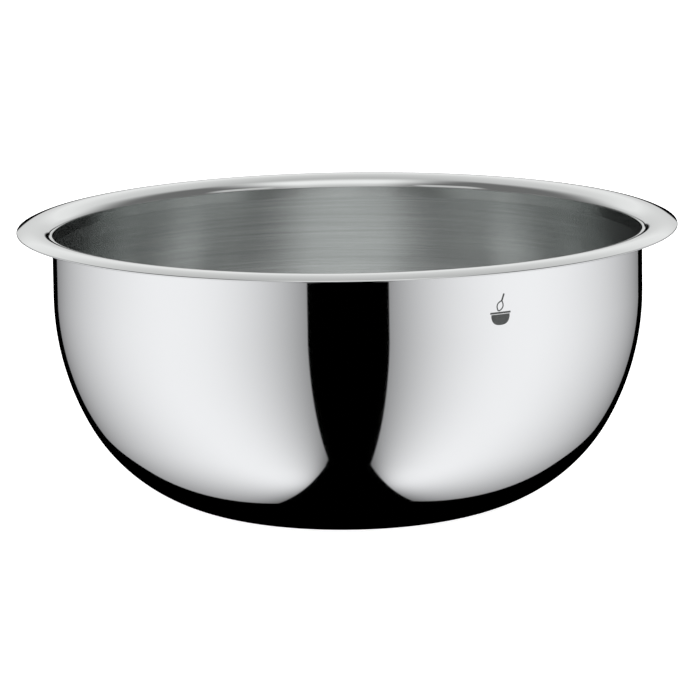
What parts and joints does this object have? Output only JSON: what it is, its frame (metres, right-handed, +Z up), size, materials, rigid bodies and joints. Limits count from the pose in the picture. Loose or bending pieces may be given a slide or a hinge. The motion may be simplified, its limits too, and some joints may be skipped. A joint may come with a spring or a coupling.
{
  "type": "mixing bowl",
  "caption": "Deep round mixing bowl of polished steel sheet, with a flat base, a rounded body and an arched brim turned outwards.",
  "frame": {"origin": "centre of the flat base's underside, the face that the bowl rests on", "axes": "+Z up along the bowl's axis, towards its mouth; the bowl is round, and -Y is the side with the small mark to its right"},
  "size_m": [0.28, 0.28, 0.1225],
  "materials": {
    "stainless_steel": "mirror polished outside and on the brim, satin brushed round the inside"
  },
  "bodies": {
    "root": {"bowl": "stainless_steel"}
  },
  "joints": []
}
